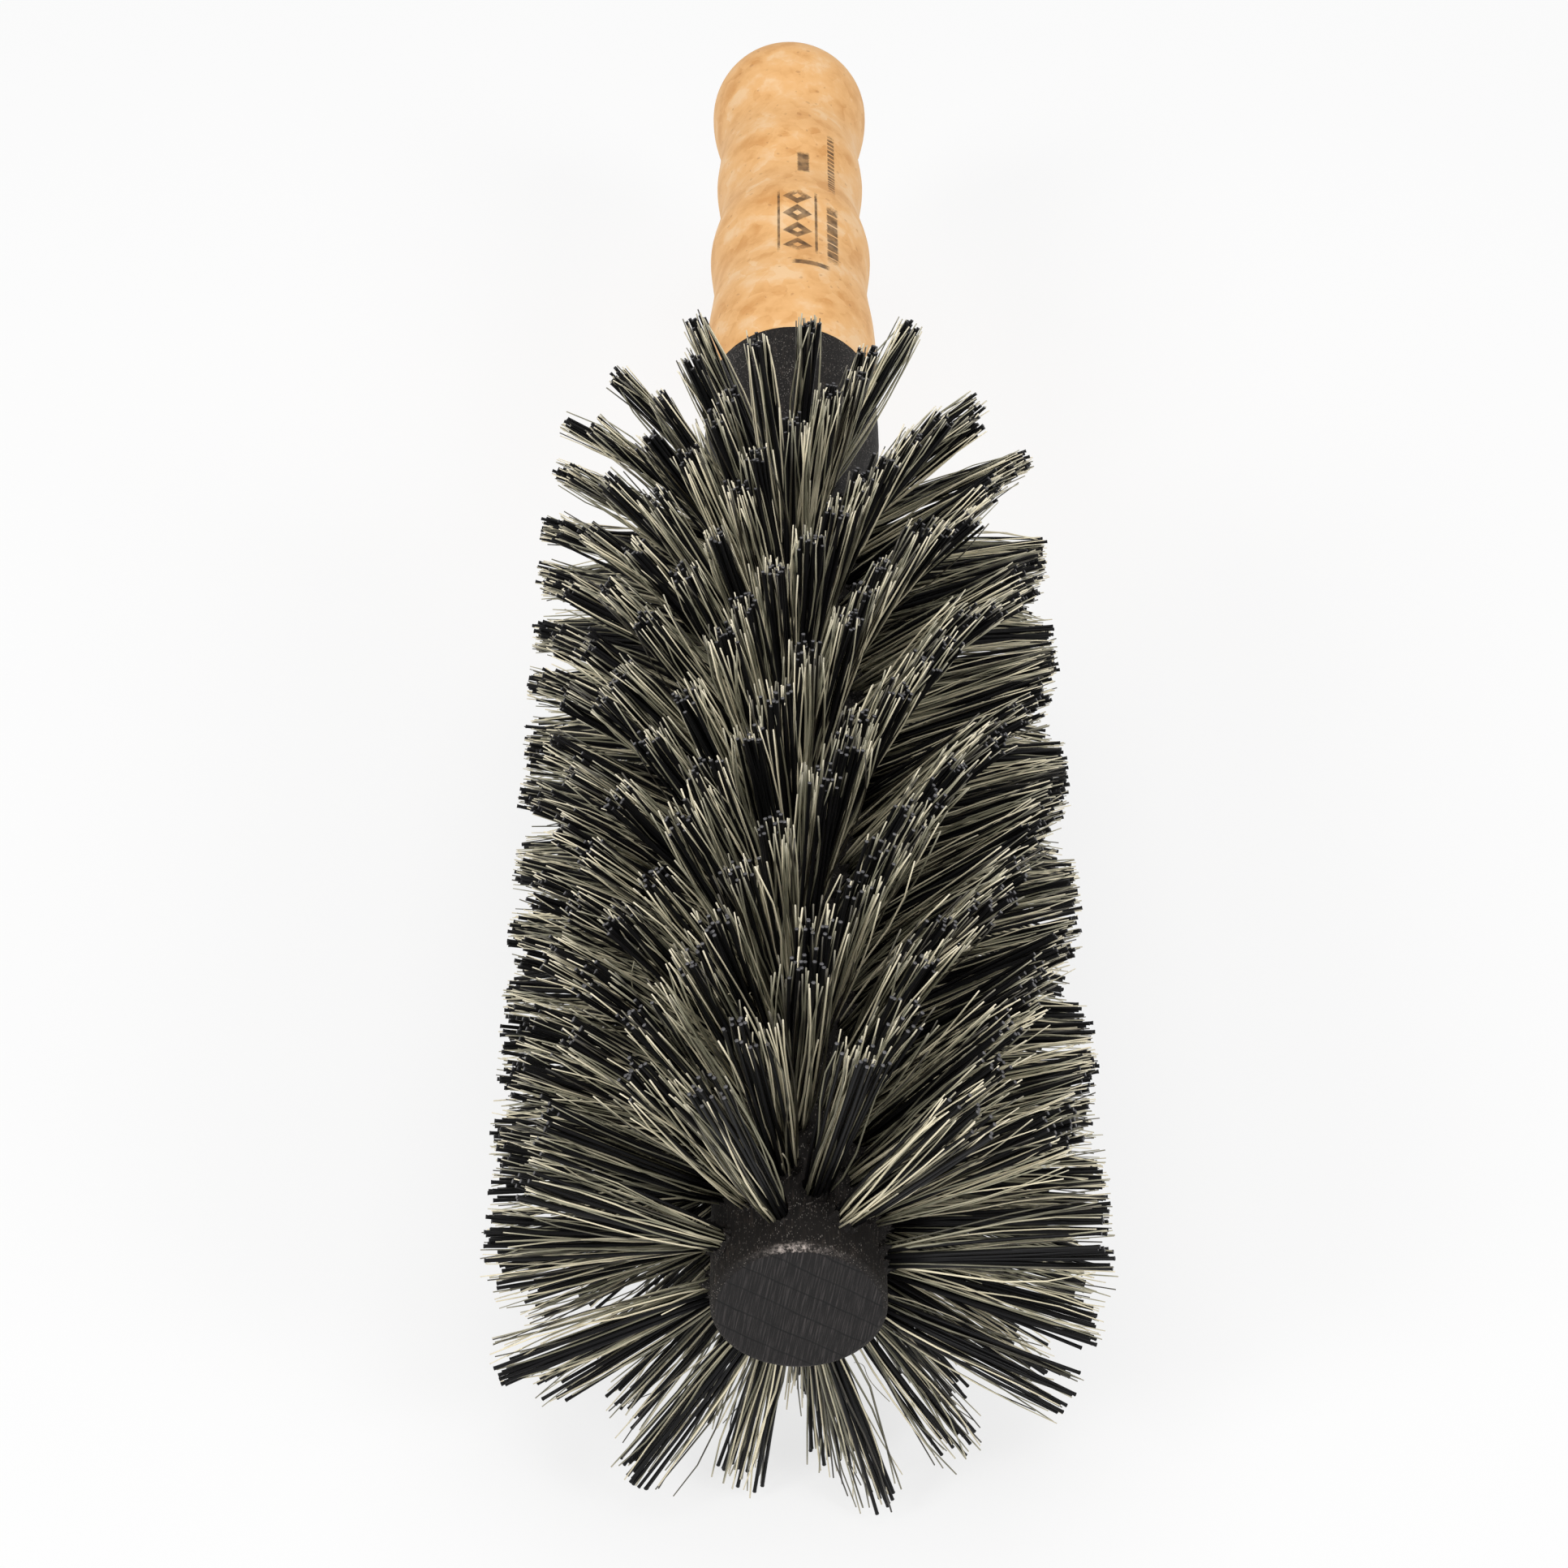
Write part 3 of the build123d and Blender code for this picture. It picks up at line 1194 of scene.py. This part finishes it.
        # painted highlight: hairs of tufts near the tip get a slightly paler tone
        tone_with_front_light = least_tone + front_painted_light * self._front(hole, self.front_reach)
        return Strands(
            kind=StrandKind.BOAR,
            root=root,
            tip=tip,
            bend=rng.normal(0, self.boar_bend, (count, 3)) * share**2,
            wave=rng.normal(0, self.boar_wave, (count, 3)) * share**2,
            tone=rng.beta(*self.boar_tones, count) * tone_with_front_light,
            root_radius=radius,
            tip_radius=radius * self.boar_taper,
            sides=self.boar_sides,
            stations=self.boar_stations,
        )


@dataclass
class StrayHairs:
    """Loose curled hairs caught among the tufts near the tip."""

    palette: Palette
    count: int = 16
    low_radius: float = 18 * MM
    high_radius: float = 35 * MM
    curl: float = 2.4 * MM
    length: float = 9 * MM
    hair_radius: float = 0.06 * MM
    zone: float = 60 * MM
    seed_step: int = 500
    bend_share: float = 0.4
    wave_share: float = 0.3
    taper: float = 0.8
    first_tip: float = 3 * MM
    past_zone: float = 1.2
    places: Span = (0.1, 1.0)
    shortness: Span = (0.5, 1.0)
    tones: Span = (0.6, 1.0)
    sides: int = 4
    steps: int = 13

    def build(self) -> Object:
        """Builds them as one piece.

        Returns:
            The piece.
        """
        rng = np.random.default_rng(SEED + self.seed_step)
        count = self.count
        angle = rng.uniform(0, TURN, count)
        level = rng.uniform(self.low_radius, self.high_radius, count)
        station = rng.uniform(*self.places, count) * self.zone
        middle = np.stack((level * np.cos(angle), station, level * np.sin(angle)), axis=1)
        heading = rng.normal(0, 1, (count, 3))
        heading /= np.linalg.norm(heading, axis=1, keepdims=True)
        tip = middle + heading * self.length * rng.uniform(*self.shortness, (count, 1))
        reach = np.linalg.norm(tip[:, (0, 2)], axis=1)
        inward = np.minimum(1.0, self.high_radius / reach)
        tip[:, (0, 2)] *= inward[:, None]
        tip[:, 1] = np.clip(tip[:, 1], self.first_tip, self.zone * self.past_zone)
        hairs = Strands(
            kind=StrandKind.BOAR,
            root=middle,
            tip=tip,
            bend=rng.normal(0, self.curl, (count, 3)) * self.bend_share,
            wave=rng.normal(0, self.curl, (count, 3)) * self.wave_share,
            tone=rng.uniform(*self.tones, count),
            root_radius=np.full(count, self.hair_radius),
            tip_radius=np.full(count, self.hair_radius * self.taper),
            sides=self.sides,
            stations=tuple(np.linspace(0, 1, self.steps)),
        )
        mesh = strand_mesh("stray_hairs", [hairs])
        return new_object("stray_hairs", mesh, (self.palette.boar,))


@dataclass
class Barrel:
    """The wooden barrel, with the torn lips and splinters that drilling left round its holes."""

    palette: Palette
    radius: float = 10.5 * MM
    hole_radius: float = 1.4 * MM
    lip_steps: int = 26
    lip_width: float = 0.70 * MM
    lip_height: float = 0.85 * MM
    lip_sink: float = 0.3 * MM
    torn: Span = (1.1, 0.75)
    torn_neighbour: float = 0.5
    torn_limits: Span = (0.05, 2.2)
    lip_inner: Span = (0.94, 1.02)
    lip_outer: Span = (0.7, 1.5)
    lip_crest: Span = (0.1, 0.5)
    splinters_per_hole: int = 6
    splinter_length: float = 0.8 * MM
    splinter_sink: float = 0.12 * MM
    splinter_bend: float = 0.08 * MM
    splinter_rim: Span = (1.0, 1.25)
    splinter_uneven: Span = (2.2, 0.5)
    splinter_rise: Span = (0.5, 1.1)
    splinter_lean: Span = (0.5, 0.8)
    splinter_mm: Span = (0.08, 0.20)
    splinter_tip: float = 0.02 * MM
    tip_room: float = 0.5 * MM

    def dress(self) -> None:
        """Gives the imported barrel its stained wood."""
        dress_node("barrel_core", self.palette.wood)

    def build(self) -> list[Object]:
        """Builds the lips and the splinters of every hole.

        Returns:
            The two pieces.
        """
        rng = np.random.default_rng(SEED - 1)
        anchors = sorted(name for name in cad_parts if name.startswith("anchor_ring_"))
        holes = [hole for node in anchors for hole in holes_of(node)]
        splinters = strand_mesh("hole_splinters", [self._splinters(hole, rng) for hole in holes])
        lips = self._lips(holes, rng)
        meshes = {"hole_splinters": splinters, "hole_lips": lips}
        return [new_object(name, mesh, (self.palette.wood,)) for name, mesh in meshes.items()]

    def _lips(self, holes: Sequence[Hole], rng: Rng) -> Mesh:
        """A closed ragged ring of torn wood round each hole, three points to a section.

        Args:
            holes: the holes.
            rng: random numbers.

        Returns:
            The mesh.
        """
        steps = self.lip_steps
        turn = TURN * np.arange(steps) / steps
        sunk = self.radius - self.lip_sink
        points = []
        for hole in holes:
            torn = rng.gamma(*self.torn, steps)
            torn = (torn + np.roll(torn, 1) * self.torn_neighbour) / (1 + self.torn_neighbour)
            crest = self.radius + self.lip_height * np.clip(torn, *self.torn_limits)
            inner = self.hole_radius * rng.uniform(*self.lip_inner, steps)
            outer = self.hole_radius + self.lip_width * rng.uniform(*self.lip_outer, steps)
            middle = inner + (outer - inner) * rng.uniform(*self.lip_crest, steps)
            for reach, level in ((inner, sunk), (middle, crest), (outer, sunk)):
                angle = hole.angle + reach * np.cos(turn) / self.radius
                station = hole.station + reach * np.sin(turn)
                points.append(np.stack((level * np.cos(angle), station, level * np.sin(angle)), axis=1))
        faces = []
        for first in range(0, len(holes) * 3 * steps, 3 * steps):
            for line in range(3):
                here, beside = first + line * steps, first + (line + 1) % 3 * steps
                for step in range(steps):
                    ahead = (step + 1) % steps
                    faces.append((here + step, here + ahead, beside + ahead, beside + step))
        mesh = bpy.data.meshes.new("hole_lips")
        mesh.from_pydata(np.concatenate(points).tolist(), [], faces)
        mesh.update()
        return mesh

    def _splinters(self, hole: Hole, rng: Rng) -> Strands:
        """Splinters round one hole.

        Args:
            hole: the hole.
            rng: random numbers.

        Returns:
            The splinters.
        """
        count = self.splinters_per_hole
        turn = rng.uniform(0, TURN, count)
        rim = self.hole_radius * rng.uniform(*self.splinter_rim, count)
        angle = hole.angle + rim * np.cos(turn) / self.radius
        outward = np.stack((np.cos(angle), np.zeros(count), np.sin(angle)), axis=1)
        around = np.stack((-np.sin(angle), np.zeros(count), np.cos(angle)), axis=1)
        lengthwise = np.array((0.0, 1.0, 0.0))
        station = (hole.station + rim * np.sin(turn))[:, None]
        foot = outward * (self.radius - self.splinter_sink) + station * lengthwise
        length = self.splinter_length * rng.gamma(*self.splinter_uneven, count)[:, None]
        sideways, forwards = self.splinter_lean
        lean = around * rng.normal(0, sideways, (count, 1))
        lean = lean + lengthwise * rng.normal(0, forwards, (count, 1))
        tip = foot + length * (outward * rng.uniform(*self.splinter_rise, (count, 1)) + lean)
        tip[:, 1] = np.maximum(tip[:, 1], self.tip_room)
        return Strands(
            kind=StrandKind.BOAR,
            root=foot,
            tip=tip,
            bend=rng.normal(0, self.splinter_bend, (count, 3)),
            wave=np.zeros((count, 3)),
            tone=rng.uniform(0, 1, count),
            root_radius=rng.uniform(*self.splinter_mm, count) * MM,
            tip_radius=np.full(count, self.splinter_tip),
            sides=3,
            stations=(0, 0.5, 1.0),
        )


@dataclass
class Grip:
    """The cork grip."""

    palette: Palette

    def dress(self) -> None:
        """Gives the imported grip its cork."""
        dress_node("cork_grip", self.palette.cork)


@dataclass
class Anchors:
    """The flat wires inside the barrel."""

    palette: Palette

    def dress(self) -> None:
        """Gives every packed ring of anchors its wire finish."""
        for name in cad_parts:
            if name.startswith("anchor_ring_"):
                dress_node(name, self.palette.wire)


def dress_node(node: str, material: Material) -> None:
    """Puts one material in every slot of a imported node."""
    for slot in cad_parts[node].material_slots:
        slot.material = material


@dataclass
class Studio:
    """The floor, the lights and the camera."""

    palette: Palette
    floor_size: float = 6.0
    fill_level: float = 0.38
    backdrop_level: float = 0.94
    camera_pitch: float = math.radians(39.7)
    camera_yaw: float = math.radians(-0.17)
    camera_lens: float = 83.85
    sensor_width: float = 36.0
    tip_across: float = 1.75 * MM
    tip_below: float = 61.8 * MM
    tip_ahead: float = 429.0 * MM
    clip_start: float = 0.01
    floor_gap: float = 0.1 * MM
    aim: tuple[float, float, float] = (0.0, 0.11, 0.0)

    def build(self) -> None:
        """Builds everything round the brush."""
        self._floor()
        self._world()
        self._lights()
        self._camera()

    def _floor(self) -> None:
        """A pale floor just under the lowest bristle."""
        half, level = self.floor_size / 2, CAD_BOX[0][2] - self.floor_gap
        corners = [(-half, -half, level), (half, -half, level), (half, half, level), (-half, half, level)]
        mesh = bpy.data.meshes.new("floor")
        mesh.from_pydata(corners, [], [(0, 1, 2, 3)])
        mesh.materials.append(self.palette.floor)
        floor = bpy.data.objects.new("floor", mesh)
        bpy.context.scene.collection.objects.link(floor)

    def _world(self) -> None:
        """Even white light from all round, seen as a backdrop as pale as the floor."""
        world = bpy.data.worlds.new("soft_white")
        world.use_nodes = True
        graph = Graph(world.node_tree)
        background = world.node_tree.nodes["Background"]
        graph.put(background.inputs["Color"], (1.0, 1.0, 1.0))
        seen = graph.add("LightPath").outputs["Is Camera Ray"]
        extra = self.backdrop_level - self.fill_level
        graph.put(background.inputs["Strength"], graph.line(seen, extra, self.fill_level))
        bpy.context.scene.world = world

    def _light(self, name: str, place: Vector, size: float, power: float) -> None:
        """One soft box, which faces the brush.

        Args:
            name: its name.
            place: where it hangs.
            size: its side.
            power: its power, in watts.
        """
        data = bpy.data.lights.new(name, "AREA")
        data.size = size
        data.energy = power
        light = bpy.data.objects.new(name, data)
        light.location = place
        light.rotation_euler = (Vector(self.aim) - place).to_track_quat("-Z", "Y").to_euler()
        bpy.context.scene.collection.objects.link(light)

    def _lights(self) -> None:
        """A broad box overhead, and a softer one on each side of the camera."""
        self._light("overhead_box", Vector((0.0, 0.10, 1.2)), size=1.1, power=7.5)
        self._light("left_box", Vector((-0.9, -0.60, 0.8)), size=0.45, power=7.0)
        self._light("right_box", Vector((0.9, -0.60, 0.8)), size=0.45, power=6.0)

    def _camera(self) -> None:
        """The camera, set back from the tip face along its own axes."""
        data = bpy.data.cameras.new("camera")
        data.lens = self.camera_lens
        data.sensor_width = self.sensor_width
        data.clip_start = self.clip_start
        camera = bpy.data.objects.new("camera", data)
        turn = Matrix.Rotation(self.camera_yaw, 4, "Z")
        tilt = Matrix.Rotation(math.pi / 2 - self.camera_pitch, 4, "X")
        turned = (turn @ tilt).to_3x3()
        tip_seen = Vector((self.tip_across, -self.tip_below, -self.tip_ahead))
        camera.matrix_world = Matrix.Translation(turned @ -tip_seen) @ turned.to_4x4()
        bpy.context.scene.collection.objects.link(camera)
        bpy.context.scene.camera = camera
        bpy.context.scene.view_settings.view_transform = "Standard"


def main() -> None:
    """Builds and dresses the brush, then its surroundings."""
    logging.basicConfig(level=logging.INFO, format="%(name)s: %(message)s")
    palette = Palette()
    Studio(palette).build()
    barrel = Barrel(palette)
    barrel.dress()
    Grip(palette).dress()
    Anchors(palette).dress()
    for piece in [*barrel.build(), *Tufts(palette).build(), StrayHairs(palette).build()]:
        LOG.info("built %s with %d faces", piece.name, len(piece.data.polygons))


if __name__ == "__main__":
    main()
